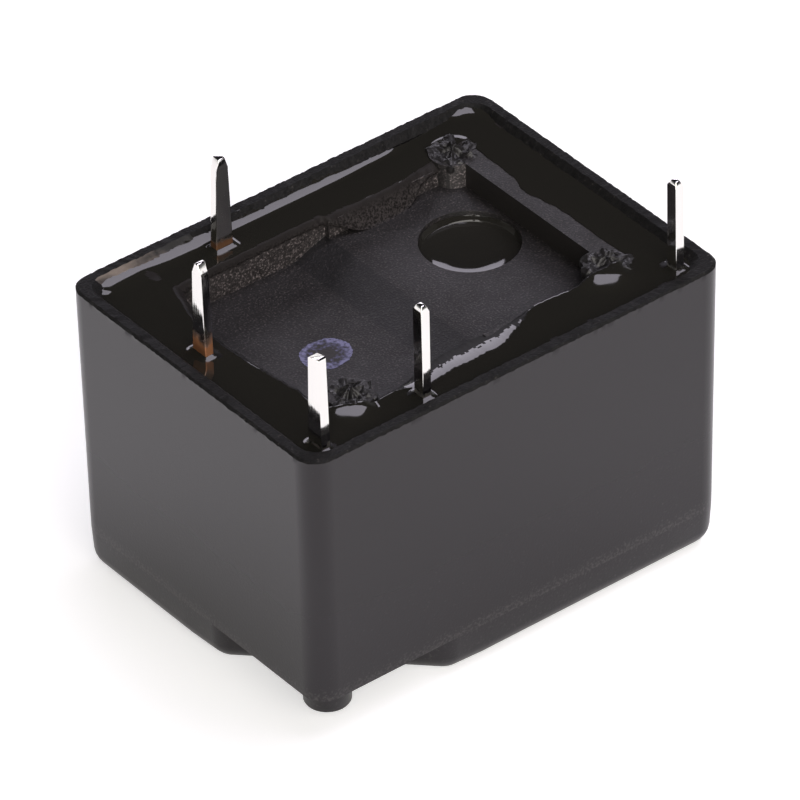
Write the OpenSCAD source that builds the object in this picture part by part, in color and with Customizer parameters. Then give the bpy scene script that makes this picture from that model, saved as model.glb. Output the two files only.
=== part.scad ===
// Sealed power relay for a circuit board, lying on its closed face with the terminals up.
// The origin is the middle of the closed face, X runs along the case and +Z out of its open end.

/* [Case] */
// Length of the case at its open rim
case_l = 20.7; // [18.6:0.1:23]
// Width of the case at its open rim
case_w = 15.6; // [14:0.1:17.4]
// Height of the case from its closed face to the rim
case_h = 13.8; // [12.4:0.1:15.4]
// Wall of the case
case_wall = 0.75; // [0.6:0.05:0.85]
// Thickness of the closed face
case_floor = 0.8; // [0.6:0.05:0.9]
// Draft of each short side, from the rim to the belt
draft_l = 0.14; // [0.05:0.01:0.2]
// Draft of each long side, from the rim to the belt
draft_w = 0.1; // [0.05:0.01:0.2]
// Height of the belt above the closed face where the sides begin to curve in
belt_h = 2.6; // [2.2:0.1:3]
// Depth of that curve at the closed face
belt_lean = 0.14; // [0.05:0.01:0.2]
// Radius of the upright corners, outside
corner_r = 0.95; // [0.8:0.05:1.2]
// Radius of the upright corners, inside
inner_r = 0.2; // [0.1:0.05:0.4]
// Round along the edges of the closed face
edge_r = 1; // [0.7:0.05:1.15]
// Radius left at the corners of the flat of the closed face
flat_r = 0.15; // [0.1:0.05:0.3]
// Legs of the three-cornered recess in the closed face
recess_leg = 6.25; // [5.5:0.05:6.9]
// Depth of that recess
recess_depth = 1.94; // [1.7:0.02:2.1]
// Lean of the slanting wall of the recess
recess_lean = 0.25; // [0.1:0.05:0.5]
// Diameter of the vent nub in the recess
nub_d = 1.94; // [1.6:0.02:2.2]
// Distance of the nub's axis from the two side faces
nub_inset = 1.54; // [1.4:0.02:1.8]
// Bevel at the end of the nub
nub_edge = 0.1; // [0.05:0.01:0.15]
// How far the end of the nub stays back from the closed face
nub_back = 0.55; // [0.3:0.05:0.8]

/* [Terminals] */
// Hole grid of the circuit board
pitch = 2.54; // [2.5:0.01:2.6]
// Length of the terminals beyond the rim
pin_out = 3.95; // [3:0.05:5]
// Width of the contact blades where they leave the base
blade_w = 0.84; // [0.7:0.02:0.92]
// Width of the contact blades at the tip
blade_tip_w = 0.6; // [0.5:0.02:0.68]
// Thickness of the contact blades
blade_t = 0.4; // [0.3:0.02:0.44]
// Flat left at a pointed tip
point_flat = 0.16; // [0.1:0.02:0.3]
// Length of a pointed tip
point_l = 0.5; // [0.3:0.05:0.7]
// Bevel at a square tip
tip_edge = 0.06; // [0.03:0.01:0.1]
// Slant of the sheared tip of the no blade
tip_slant = 0.12; // [0.05:0.01:0.2]
// Width of the coil pins
coil_pin_w = 0.56; // [0.46:0.01:0.64]
// Thickness of the coil pins
coil_pin_t = 0.42; // [0.36:0.01:0.48]
// Length of the coil pins below the base
coil_tail = 3.2; // [2.9:0.05:3.5]
// Distance of the coil row from the inside of the long wall
row_inset = 0.6; // [0.55:0.01:0.7]
// Distance of the com blade from the inside of the other long wall
com_inset = 0.8; // [0.75:0.01:0.9]
// Distance of the last pins from the inside of the short walls
end_inset = 0.71; // [0.6:0.01:0.8]
// Offset of the nc blade from the no blade
nc_shift = 0.24; // [0.2:0.01:0.3]

/* [Base] */
// Drop from the rim to the bare strip of the base
strip_drop = 0.3; // [0.2:0.05:0.35]
// Drop from the rim to the resin
resin_drop = 0.42; // [0.38:0.02:0.48]
// Drop from the rim to the ledge under the resin
ledge_drop = 0.6; // [0.52:0.02:0.7]
// Drop from the rim to the moat that takes the resin
moat_drop = 1.3; // [1.1:0.05:1.6]
// Drop from the rim to the raised floor of the pan
plane_drop = 1.4; // [1.2:0.05:1.6]
// Drop from the rim to the deep floor of the pan
pocket_drop = 2; // [1.8:0.05:2.2]
// Drop from the rim to the underside of the base
base_drop = 2.8; // [2.5:0.05:3.1]
// Width of the moat along the wall
moat_w = 0.85; // [0.75:0.05:0.95]
// Width of the bare strip beside the raised floor
strip_w = 0.95; // [0.8:0.05:1.1]
// Width of the ledge at the contact end
ledge_left = 1.2; // [1.05:0.05:1.35]
// Width of the ledge at the coil end
ledge_right = 1.73; // [1.6:0.01:1.9]
// Width of the ledges beside the deep floor
pocket_ledge = 0.85; // [0.75:0.05:0.95]
// Width of the ledge in front of the raised floor
front_ledge = 1.5; // [1.35:0.05:1.65]
// Width of the ledge behind the raised floor
back_ledge = 1.1; // [0.95:0.05:1.25]
// Length of the raised floor
plane_l = 6.37; // [5.7:0.01:7]
// Run of the ramp from the raised floor to the deep one
ramp_run = 1.6; // [1.4:0.1:1.8]
// Diameter of the round well in the raised floor
well_d = 4.15; // [3.7:0.05:4.3]
// Distance of the well's axis from the end of the raised floor
well_inset = 2.22; // [2.2:0.01:2.5]
// Offset of the well across the case
well_y = 1.3; // [1:0.05:1.45]
// Drop of the resin in the well below the raised floor
well_drop = 0.3; // [0.2:0.05:0.4]
// Radius of the staking pegs
peg_r = 0.62; // [0.55:0.01:0.7]
// Radius of the bosses round the pegs
boss_r = 0.98; // [0.88:0.01:1.08]
// Radius of the star points on the crushed heads
peg_head_r = 0.9; // [0.8:0.01:0.98]
// Height of the crushed heads
peg_head_h = 0.26; // [0.2:0.02:0.3]
// Distance of the coil-end pegs past the end of the raised floor
peg_over = 0.1; // [0.05:0.01:0.15]
// Distance of the back peg outside the raised floor
peg_back = 0.24; // [0.15:0.01:0.3]
// Distance of the front peg inside the raised floor
peg_front = 0.21; // [0.1:0.01:0.3]
// Distance of the contact-end peg from the end of the deep floor
peg_end = 1.53; // [1.3:0.01:1.7]
// Distance of the contact-end peg inside the deep floor
peg_side = 0.65; // [0.5:0.01:0.8]

/* [Magnet] */
// Thickness of the yoke
yoke_t = 1; // [0.85:0.05:1.1]
// Width of the yoke
yoke_w = 7.4; // [6.7:0.1:8]
// Inside bend of the yoke
yoke_bend = 0.3; // [0.2:0.02:0.34]
// Radius of the core
core_r = 1.9; // [1.7:0.05:2.1]
// Radius of the riveted end of the core
core_neck_r = 1.4; // [1.2:0.05:1.55]
// Radius of the pole at the front of the core
pole_r = 2.6; // [2.35:0.05:2.85]
// Room above and below the coil
coil_room = 0.75; // [0.65:0.05:0.9]
// Gap between the coil and the long leg of the yoke
coil_gap = 0.35; // [0.35:0.05:0.5]
// Wall of the bobbin's tube
tube_t = 0.6; // [0.5:0.05:0.7]
// Thickness of the tape over the winding
tape_t = 0.1; // [0.06:0.02:0.14]
// Thickness of the bobbin's flanges
flange_t = 0.8; // [0.7:0.05:0.9]
// Lip of the flanges beyond the winding
flange_lip = 0.3; // [0.2:0.02:0.34]
// Wall of the bobbin beside the coil pins
pin_wall = 0.2; // [0.15:0.01:0.24]
// Depth of the bobbin's bars below the base at the coil pins
pin_bar = 1.6; // [1.4:0.05:1.8]
// Depth of the bobbin's bars below the base at the pegs
peg_bar = 0.6; // [0.5:0.02:0.62]
// Half width of the bobbin's bars at the pegs
peg_bar_w = 0.8; // [0.75:0.01:0.9]
// Diameter of the winding wire
wire_d = 0.2; // [0.14:0.02:0.22]
// Distance of the wire's turns below the base
wire_drop = 2.6; // [2.4:0.05:2.8]
// Spacing of the wire's turns on a pin
turn_gap = 0.18; // [0.14:0.01:0.2]
// Distance from a flange to the place where the wire leaves the winding
wire_inset = 0.5; // [0.4:0.05:0.6]

/* [Contacts] */
// Thickness of the armature
armature_t = 1.2; // [1.1:0.05:1.3]
// Height of the armature plate
armature_h = 6.4; // [5.8:0.1:7]
// Edge of the armature beyond the pole
armature_edge = 0.3; // [0.2:0.05:0.4]
// Thickness of the contact spring
spring_t = 0.2; // [0.15:0.01:0.24]
// Width of the contact spring at the armature
spring_w = 2.8; // [2.5:0.1:3.1]
// Length of the contact spring above the coil's axis
spring_top = 2.6; // [2.4:0.05:2.8]
// Edge of sheet round a contact
contact_edge = 0.1; // [0.05:0.01:0.15]
// Half height of the fixed contact plates
plate_h = 1.3; // [1.2:0.05:1.4]
// Bend of the no terminal, at the middle of its sheet
plate_bend = 0.3; // [0.25:0.01:0.35]
// Radius of the contacts
contact_r = 0.95; // [0.85:0.01:1.05]
// Radius of the contact shanks
shank_r = 0.475; // [0.4:0.005:0.525]
// Height of the contact heads
contact_h = 0.5; // [0.45:0.01:0.55]
// Radius of the dome on the moving contact
dome_r = 4; // [3.5:0.1:4.5]
// Swing of the armature
swing = 5; // [4.5:0.1:5.5]
// Radius of the rivet shanks
rivet_r = 0.45; // [0.4:0.01:0.5]
// Radius of the rivet heads
rivet_head_r = 0.75; // [0.65:0.01:0.85]
// Height of the rivet heads
rivet_head_h = 0.25; // [0.2:0.01:0.28]
// Distance between the two rivets of a pair
rivet_gap = 2.2; // [2:0.05:2.4]
// Distance of the lower spring rivet below the coil's axis
spring_rivet = 0.6; // [0.5:0.05:0.7]
// Edge of the com plate beside its blade
com_edge = 0.6; // [0.5:0.01:0.7]
// Edge of the com plate beyond its rivets
com_tail = 0.9; // [0.8:0.05:1]
// Distance of the first com rivet from the blade
com_rivet = 0.3; // [0.25:0.01:0.35]
// Height of the com plate's foot above the coil's axis
com_foot = 0.9; // [0.8:0.05:1]
// Thickness of the hinge spring
hinge_t = 0.15; // [0.12:0.01:0.18]
// Reach of the hinge spring along the yoke
hinge_reach = 4.6; // [4.4:0.05:5]
// Distance from the hinge to the hinge spring's crank
hinge_crank = 0.9; // [0.8:0.02:1]
// Run of that crank
crank_run = 0.6; // [0.5:0.02:0.7]
// Lift of the hinge spring over the hinge
hinge_lift = 0.28; // [0.25:0.01:0.31]
// Length of the hinge spring on the armature's heel
hinge_heel = 1.4; // [1.2:0.05:1.5]
// Lower edge of the hinge spring below the coil's axis
hinge_low = 3.2; // [2.9:0.05:3.5]
// Upper edge of the hinge spring above the coil's axis
hinge_high = 0.6; // [0.5:0.02:0.7]
// Distance of the first hinge rivet from the hinge
hinge_rivet = 1.9; // [1.8:0.05:2]

/* [Clearances] */
// Gap of the base in the case
base_fit = 0.05; // [0.03:0.01:0.08]
// Gap of the terminals in the slots of the base
slot_fit = 0.05; // [0.03:0.01:0.06]
// Gap of the pegs in their holes
peg_fit = 0.05; // [0.03:0.01:0.08]
// Gap of the core in the bobbin
core_fit = 0.05; // [0.03:0.01:0.08]
// Gap of the wire ends in the bobbin's notches
wire_fit = 0.05; // [0.03:0.01:0.08]
// Gap between the bobbin's bars and the base
bar_fit = 0.05; // [0.03:0.01:0.08]
// Gap left where the contacts, pole and yoke meet the armature
touch = 0.03; // [0.02:0.01:0.05]
// Gap between the hinge spring and the armature's heel
heel_fit = 0.06; // [0.04:0.01:0.08]
// Air between the magnet and the inside of the case
air = 0.15; // [0.1:0.01:0.2]

/* [Hidden] */
$fn = 48;
eps = 0.01;
far = 40;
edge_steps = 8;
belt_steps = 4;
bend_steps = 6;
star_points = 6;
wire_turns = 3;

// Inside of the case and the levels above the closed face
cavity_l = case_l - 2 * case_wall;
cavity_w = case_w - 2 * case_wall;
face_x = case_l / 2 - draft_l - belt_lean;
face_y = case_w / 2 - draft_w - belt_lean;
strip_z = case_h - strip_drop;
resin_z = case_h - resin_drop;
ledge_z = case_h - ledge_drop;
moat_z = case_h - moat_drop;
plane_z = case_h - plane_drop;
pocket_z = case_h - pocket_drop;
base_z = case_h - base_drop;
tip_z = case_h + pin_out;

// Base: the moat lies along the wall, and ledges of set widths lie between it and the pan
base_l = cavity_l - 2 * base_fit;
base_w = cavity_w - 2 * base_fit;
ledge_l = base_l - 2 * moat_w;
ledge_w = base_w - 2 * moat_w;
pan_left = ledge_l / 2 - ledge_left;
pan_right = ledge_l / 2 - ledge_right;
pocket_y = ledge_w / 2 - pocket_ledge;
plane_front = ledge_w / 2 - front_ledge;
plane_back = ledge_w / 2 - back_ledge;
ramp_top = pan_right - plane_l;
ramp_foot = ramp_top - ramp_run;
well_x = pan_right - well_inset;

// Terminal places: the outer rows follow the walls, the rest are whole steps of the hole grid
row_y = cavity_w / 2 - row_inset;
no_at = [end_inset - cavity_l / 2, -row_y];
nc_at = no_at + [nc_shift, 3 * pitch];
coil_1 = no_at + [2 * pitch, 0];
coil_2 = [cavity_l / 2 - end_inset, -row_y];
com_at = [coil_1[0], cavity_w / 2 - com_inset];

// Staking pegs at the corners of the pan, on the bars of the bobbin
peg_x = pan_right + peg_over;
pegs = [[peg_x, plane_back + peg_back], [peg_x, peg_front - plane_front],
        [peg_end - pan_left, peg_side - pocket_y]];
bar_top = base_z - bar_fit;
peg_bar_z = bar_top - peg_bar;
pin_bar_z = bar_top - pin_bar;

// Magnet: the yoke's long leg lies on the com terminal, its short leg near the end wall,
// and the coil fills the height between the closed face and the base
pivot_y = com_at[1] - blade_t / 2;
leg_y = pivot_y - yoke_t;
yoke_x = cavity_l / 2 - air;
coil_z = (case_floor + base_z) / 2;
winding_r = (base_z - case_floor) / 2 - coil_room - tape_t;
coil_y = leg_y - coil_gap - tape_t - winding_r;
tube_r = core_r + core_fit + tube_t;
flange_r = winding_r + flange_lip;
flange_1 = coil_1[0] - coil_pin_w / 2 - pin_wall;
flange_2 = yoke_x - yoke_t - core_fit;
flange_in = flange_1 + flange_t;
flange_out = flange_2 - flange_t;
wire_1 = flange_in + wire_inset;
wire_2 = flange_out - wire_inset;
turn_r = norm([coil_pin_w, coil_pin_t]) / 2 + wire_d / 2;

// Contacts midway between the pole and the folded front of the no terminal, then the stack of
// thicknesses from the nc blade to the pole
fold_y = -row_y - blade_w / 2 + blade_t / 2;
contact_y = (coil_y - pole_r + fold_y + blade_t / 2) / 2;
nc_face = nc_at[0] + blade_t / 2 + contact_h;
arm = pivot_y - contact_y;
stack = armature_t + spring_t + contact_h;
pivot_x = nc_face + touch + dome_r - (dome_r - stack) * cos(swing) + arm * sin(swing);
pole_x = pivot_x + touch;
no_face = pivot_x - armature_t + contact_h + touch;
no_plate_x = no_face + contact_h + blade_t / 2;
spring_x = pivot_x - armature_t - spring_t;
plate_z0 = coil_z - plate_h;
plate_z1 = coil_z + plate_h;
com_z0 = coil_z + com_foot;
com_z1 = coil_z + yoke_w / 2;

// Rectangle with round corners
module slab(l, w, r, h) {
    linear_extrude(h) {
        square([l - 2 * r, w], center = true);
        square([l, w - 2 * r], center = true);
        for (sx = [-1, 1], sy = [-1, 1])
            translate([sx * (l / 2 - r), sy * (w / 2 - r)])
                circle(r);
    }
}

// Block between two corners
module block(lo, hi) {
    translate(lo)
        cube(hi - lo);
}

// Unit vector, and the vector a quarter turn to its left
function unit(v) = v / norm(v);
function left(v) = [-v[1], v[0]];

// Arc that takes the place of the corner q between p and r
function bent(p, q, r, bend) =
    let (u = unit(p - q), v = unit(r - q), half = acos(u * v) / 2)
    let (centre = q + unit(u + v) * bend / sin(half))
    let (a = q + u * bend / tan(half) - centre, b = q + v * bend / tan(half) - centre)
    [for (i = [0 : bend_steps]) centre + bend * unit(a + (b - a) * i / bend_steps)];

// Line of points with every inner corner bent
function folded(pts, bend) = concat(
    [pts[0]],
    [for (i = [1 : len(pts) - 2]) each bent(pts[i - 1], pts[i], pts[i + 1], bend)],
    [pts[len(pts) - 1]]
);

// Line of points moved to one side, with mitred corners
function miter(p, q, r, off) =
    let (a = left(unit(q - p)), b = left(unit(r - q)))
    q + off * (a + b) / (1 + a * b);
function side(pts, off) = [
    for (i = [0 : len(pts) - 1])
        i == 0 ? pts[0] + off * left(unit(pts[1] - pts[0])) :
        i == len(pts) - 1 ? pts[i] + off * left(unit(pts[i] - pts[i - 1])) :
        miter(pts[i - 1], pts[i], pts[i + 1], off)
];
function backwards(list) = [for (i = [len(list) - 1 : -1 : 0]) list[i]];

// Strip of sheet folded along a line of points and standing upright between two heights
module folded_strip(pts, t, z0, z1) {
    translate([0, 0, z0])
        linear_extrude(z1 - z0)
            polygon(concat(side(pts, t / 2), backwards(side(pts, -t / 2))));
}

// Sheet standing upright, with its faces towards X or towards Y; the outline is its child
module sheet_facing_x(x, t) {
    translate([x - t / 2, 0, 0])
        rotate([90, 0, 90])
            linear_extrude(t)
                children();
}
module sheet_facing_y(y, t) {
    translate([0, y + t / 2, 0])
        rotate([90, 0, 0])
            linear_extrude(t)
                children();
}

// Outline of a terminal from a level up to its tip: its width at the base and at the tip,
// the flat and the length of the tip's bevels, and the slant of its end
module blade(at, z0, w0, w1, flat, cut, slant = 0) {
    polygon([
        [at - w0 / 2, z0], [at + w0 / 2, z0], [at + w0 / 2, resin_z],
        [at + w1 / 2, tip_z - cut - slant], [at + flat / 2, tip_z - slant],
        [at - flat / 2, tip_z], [at - w1 / 2, tip_z - cut], [at - w0 / 2, resin_z]
    ]);
}

// Disc lying along X on the coil's axis
module disc_x(x0, x1, r) {
    translate([x0, coil_y, coil_z])
        rotate([0, 90, 0])
            cylinder(r = r, h = x1 - x0);
}

// Rivet along Z, with a shank of some length and its head beyond it
module rivet(shank) {
    cylinder(r = rivet_r, h = shank);
    translate([0, 0, shank])
        cylinder(r = rivet_head_r, h = rivet_head_h);
}

// Places of a pair of rivets in the long leg of the yoke, with Z out of its inner face
module at_leg_rivets(x, z) {
    for (step = [0, rivet_gap])
        translate([x + step, leg_y, z])
            rotate([-90, 0, 0])
                children();
}

// Rivet holes through the yoke's long leg and the sheets on it
module com_holes() {
    at_leg_rivets(com_at[0] + com_rivet, (com_z0 + com_z1) / 2)
        cylinder(r = rivet_r, h = 4 * yoke_t, center = true);
}
module hinge_holes() {
    at_leg_rivets(pivot_x + hinge_rivet, coil_z - (hinge_low - hinge_high) / 2)
        cylinder(r = rivet_r, h = 4 * yoke_t, center = true);
}

// How far the sides stand in at a height, by draft and belt and by the round of the edge
function lean(z, draft) =
    z > belt_h ? draft * (case_h - z) / (case_h - belt_h) : draft + belt_lean * pow(1 - z / belt_h, 2);
function round_in(z) = z > edge_r ? 0 : edge_r - sqrt(edge_r * edge_r - pow(edge_r - z, 2));

// Thin posts at the corners of the case at one height; the cut set has the recess corner cut off
module corner_posts(z, cut) {
    r = max(corner_r - round_in(z), flat_r);
    x = case_l / 2 - lean(z, draft_l) - round_in(z) - r;
    y = case_w / 2 - lean(z, draft_w) - round_in(z) - r;
    slope = recess_leg + recess_lean * (1 - z / recess_depth) - face_x - face_y;
    diagonal = slope + (round_in(z) + r) * sqrt(2);
    square_corners = [[x, y], [-x, y], [x, -y]];
    last = cut ? [[diagonal + y, -y], [-x, diagonal + x]] : [[-x, -y]];
    for (at = concat(square_corners, last))
        translate([at[0], at[1], z - eps / 2])
            cylinder(r = r, h = eps, $fn = 32);
}

// Outside of the case: the raised face with round edges, and the sides above the recess
module case_body() {
    translate([0, 0, eps / 2])
        hull() {
            for (i = [0 : edge_steps])
                corner_posts(edge_r * (1 - cos(90 * i / edge_steps)), true);
            corner_posts(recess_depth, true);
        }
    translate([0, 0, -eps / 2])
        hull() {
            for (i = [0 : belt_steps])
                corner_posts(recess_depth + eps + (belt_h - recess_depth) * i / belt_steps, false);
            corner_posts(case_h, false);
        }
}

module cover() {
    corner = face_x + face_y - recess_leg - recess_lean - case_floor * sqrt(2);
    color([0.13, 0.125, 0.13]) {
        difference() {
            case_body();
            difference() {
                translate([0, 0, case_floor])
                    slab(cavity_l, cavity_w, inner_r, case_h);
                linear_extrude(recess_depth + case_floor)
                    polygon([[-far, -far], [far - corner, -far], [-far, far - corner]]);
            }
        }
        translate([nub_inset - face_x, nub_inset - face_y, nub_back]) {
            cylinder(d1 = nub_d - 2 * nub_edge, d2 = nub_d, h = nub_edge);
            translate([0, 0, nub_edge])
                cylinder(d = nub_d, h = recess_depth - nub_back);
        }
    }
}

// Hollow of the pan: deep floor, ramp and raised floor in one section
module pan() {
    sheet_facing_y(0, 2 * pocket_y)
        polygon([[-pan_left, case_h], [-pan_left, pocket_z], [ramp_foot, pocket_z], [ramp_top, plane_z],
                 [ramp_top, case_h]]);
    block([ramp_top - eps, -plane_front, plane_z], [pan_right, plane_back, case_h]);
}

// Bare strip that stands above the resin at the end of the raised floor
module strip(z0) {
    block([pan_right, -plane_front, z0], [pan_right + strip_w, plane_back, strip_z]);
}

// Round posts at the pegs
module at_pegs(r, z0, z1) {
    for (at = pegs)
        translate([at[0], at[1], z0])
            cylinder(r = r, h = z1 - z0);
}

// Slots of all terminals
module terminal_slots() {
    g = 2 * slot_fit;
    for (at = [no_at, nc_at])
        translate([at[0], at[1], case_h])
            cube([blade_t + g, blade_w + g, far], center = true);
    translate([com_at[0], com_at[1], case_h])
        cube([blade_w + g, blade_t + g, far], center = true);
    for (at = [coil_1, coil_2])
        translate([at[0], at[1], case_h])
            cube([coil_pin_t + g, coil_pin_w + g, far], center = true);
}

module base() {
    color([0.19, 0.185, 0.19])
        difference() {
            union() {
                difference() {
                    translate([0, 0, base_z]) {
                        slab(base_l, base_w, inner_r, moat_z - base_z);
                        slab(ledge_l, ledge_w, inner_r, ledge_z - base_z);
                    }
                    pan();
                }
                strip(base_z);
                at_pegs(boss_r, base_z, strip_z);
            }
            terminal_slots();
            at_pegs(peg_r + peg_fit, 0, far);
            translate([well_x, well_y, 0])
                cylinder(d = well_d, h = far);
        }
}

module sealing_resin() {
    color([0.08, 0.08, 0.075])
        difference() {
            translate([0, 0, moat_z])
                slab(cavity_l, cavity_w, inner_r, resin_z - moat_z);
            translate([0, 0, moat_z - eps])
                slab(ledge_l, ledge_w, inner_r, ledge_z - moat_z + eps);
            strip(moat_z - eps);
            pan();
            terminal_slots();
            at_pegs(boss_r, 0, far);
        }
}

module plug_resin() {
    color([0.08, 0.08, 0.075])
        translate([well_x, well_y, base_z])
            cylinder(d = well_d, h = plane_z - well_drop - base_z);
}

// Peg of the bobbin through the base, with the star that the staking tool leaves on its head
module peg(at) {
    translate([at[0], at[1], bar_top - eps]) {
        cylinder(r = peg_r, h = strip_z - bar_top + 2 * eps);
        translate([0, 0, strip_z - bar_top + eps])
            linear_extrude(peg_head_h)
                polygon([
                    for (i = [0 : 2 * star_points - 1])
                        let (r = i % 2 == 0 ? peg_head_r : peg_r, a = 180 * i / star_points)
                        [r * cos(a), r * sin(a)]
                ]);
    }
}

module bobbin() {
    edge = coil_pin_w / 2 + pin_wall;
    color([0.2, 0.19, 0.18]) {
        difference() {
            union() {
                disc_x(flange_1 + eps, flange_2 - eps, tube_r);
                for (x = [flange_1, flange_out])
                    block([x, coil_y - flange_r, coil_z - flange_r],
                          [x + flange_t, leg_y - yoke_bend, bar_top]);
                block([flange_1, -row_y - edge, pin_bar_z], [flange_in, coil_y - flange_r + eps, bar_top]);
                block([flange_out, -row_y - edge, pin_bar_z], [flange_2, coil_y - flange_r + eps, bar_top]);
                block([flange_2 - eps, -row_y - edge, pin_bar_z], [coil_2[0] + edge, edge - row_y, bar_top]);
                block([pegs[2][0] - peg_bar_w, pegs[2][1] - peg_bar_w, peg_bar_z],
                      [flange_1 + eps, pegs[2][1] + peg_bar_w, bar_top]);
                block([peg_x - peg_bar_w, pegs[1][1] - peg_bar_w, peg_bar_z],
                      [flange_2, pegs[0][1] + peg_bar_w, bar_top]);
            }
            disc_x(-far, far, core_r + core_fit);
            coil_pin_1();
            coil_pin_2();
            wire_run(coil_1, wire_1, wire_d + 2 * wire_fit);
            wire_run(coil_2, wire_2, wire_d + 2 * wire_fit);
        }
        for (at = pegs)
            peg(at);
    }
}

module winding() {
    color([0.62, 0.3, 0.13])
        difference() {
            disc_x(flange_in, flange_out, winding_r);
            disc_x(-far, far, tube_r);
        }
}

module winding_tape() {
    color([0.75, 0.6, 0.25])
        difference() {
            disc_x(flange_in, flange_out, winding_r + tape_t);
            disc_x(-far, far, winding_r);
        }
}

// Straight run of a winding end, from its turns on a pin's tail to the winding
module wire_run(at, x, d) {
    start = [at[0], at[1] + turn_r, base_z - wire_drop];
    run = [x, coil_y - winding_r - tape_t - wire_d / 2, coil_z] - start;
    translate(start)
        rotate([0, acos(run[2] / norm(run)), atan2(run[1], run[0])])
            cylinder(d = d, h = norm(run), $fn = 16);
}

module lead_wire(at, x) {
    color([0.66, 0.33, 0.14]) {
        for (i = [0 : wire_turns - 1])
            translate([at[0], at[1], base_z - wire_drop - i * turn_gap])
                rotate_extrude()
                    translate([turn_r, 0])
                        circle(d = wire_d, $fn = 16);
        wire_run(at, x, wire_d);
    }
}

module lead_wire_1() {
    lead_wire(coil_1, wire_1);
}

module lead_wire_2() {
    lead_wire(coil_2, wire_2);
}

module core() {
    color([0.62, 0.62, 0.63]) {
        disc_x(pole_x, flange_1, pole_r);
        disc_x(pole_x, yoke_x - yoke_t, core_r);
        disc_x(pole_x, yoke_x, core_neck_r);
    }
}

module yoke() {
    bend_x = yoke_x - yoke_t - yoke_bend;
    bend_y = leg_y - yoke_bend;
    color([0.58, 0.58, 0.6])
        difference() {
            translate([0, 0, coil_z - yoke_w / 2])
                linear_extrude(yoke_w) {
                    translate([pole_x, leg_y])
                        square([bend_x + eps - pole_x, yoke_t]);
                    translate([yoke_x - yoke_t, coil_y - winding_r])
                        square([yoke_t, bend_y + eps - coil_y + winding_r]);
                    translate([bend_x, bend_y])
                        intersection() {
                            difference() {
                                circle(yoke_t + yoke_bend);
                                circle(yoke_bend);
                            }
                            square(far);
                        }
                }
            disc_x(0, far, core_neck_r);
            com_holes();
            hinge_holes();
        }
}

module com_terminal() {
    color([0.8, 0.78, 0.74])
        difference() {
            union() {
                sheet_facing_y(com_at[1], blade_t)
                    blade(com_at[0], com_z0, blade_w, blade_tip_w, blade_tip_w / 2, point_l);
                block([com_at[0] - com_edge, pivot_y, com_z0],
                      [com_at[0] + com_rivet + rivet_gap + com_tail, pivot_y + blade_t, com_z1]);
            }
            com_holes();
        }
}

module com_rivets() {
    color([0.72, 0.6, 0.4])
        at_leg_rivets(com_at[0] + com_rivet, (com_z0 + com_z1) / 2)
            rivet(yoke_t + blade_t);
}

// Contact rivet in a fixed plate, with its flat head towards the moving contact
module fixed_contact(face, way) {
    color([0.83, 0.82, 0.8])
        translate([face, contact_y, coil_z])
            rotate([0, 90 * way, 0]) {
                cylinder(r = contact_r, h = contact_h);
                cylinder(r = shank_r, h = contact_h + blade_t);
            }
}

// Hole for a contact shank through a plate or spring at some X
module shank_hole(x) {
    translate([x, contact_y, coil_z])
        rotate([0, 90, 0])
            cylinder(r = shank_r, h = 4 * blade_t, center = true);
}

module nc_terminal() {
    color([0.8, 0.78, 0.74])
        difference() {
            sheet_facing_x(nc_at[0], blade_t) {
                blade(nc_at[1], plate_z0, blade_w, blade_tip_w, point_flat, point_l);
                translate([contact_y - shank_r - contact_edge, plate_z0])
                    square([nc_at[1] + blade_w / 2 - contact_y + shank_r + contact_edge, 2 * plate_h]);
            }
            shank_hole(nc_at[0]);
        }
}

module nc_contact() {
    fixed_contact(nc_face, -1);
}

// Folded round the contact end of the spring, from the blade at the corner to the inner contact
module no_terminal() {
    fold = [[no_at[0], no_at[1] + blade_w / 2], [no_at[0], fold_y], [no_plate_x, fold_y],
            [no_plate_x, contact_y + contact_r + contact_edge]];
    color([0.8, 0.78, 0.74])
        difference() {
            union() {
                sheet_facing_x(no_at[0], blade_t)
                    blade(no_at[1], plate_z1 - blade_w, blade_w, blade_tip_w,
                          blade_tip_w - 2 * tip_edge, tip_edge, tip_slant);
                folded_strip(folded(fold, plate_bend), blade_t, plate_z0, plate_z1);
            }
            shank_hole(no_plate_x);
        }
}

module no_contact() {
    fixed_contact(no_face, 1);
}

module coil_pin(at) {
    z0 = base_z - coil_tail;
    color([0.82, 0.81, 0.78])
        intersection() {
            sheet_facing_x(at[0], coil_pin_t)
                blade(at[1], z0, coil_pin_w, coil_pin_w, coil_pin_w / 2, point_l / 2);
            sheet_facing_y(at[1], coil_pin_w)
                blade(at[0], z0, coil_pin_t, coil_pin_t, coil_pin_t / 2, point_l / 2);
        }
}

module coil_pin_1() {
    coil_pin(coil_1);
}

module coil_pin_2() {
    coil_pin(coil_2);
}

// Leaf riveted to the yoke's long leg, cranked round the hinge and pressing on the armature's heel
module hinge_spring() {
    flat_y = pivot_y + hinge_t / 2;
    lift_y = pivot_y + hinge_lift;
    press_x = pivot_x - armature_t * cos(swing) - hinge_heel * sin(swing) - heel_fit - hinge_t / 2;
    color([0.72, 0.55, 0.3])
        difference() {
            folded_strip([[pivot_x + hinge_reach, flat_y], [pivot_x + hinge_crank, flat_y],
                          [pivot_x + hinge_crank - crank_run, lift_y], [press_x, lift_y],
                          [press_x, pivot_y - hinge_heel]],
                         hinge_t, coil_z - hinge_low, coil_z + hinge_high);
            hinge_holes();
        }
}

module hinge_rivets() {
    color([0.72, 0.6, 0.4])
        at_leg_rivets(pivot_x + hinge_rivet, coil_z - (hinge_low - hinge_high) / 2)
            rivet(yoke_t + hinge_t);
}

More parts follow.
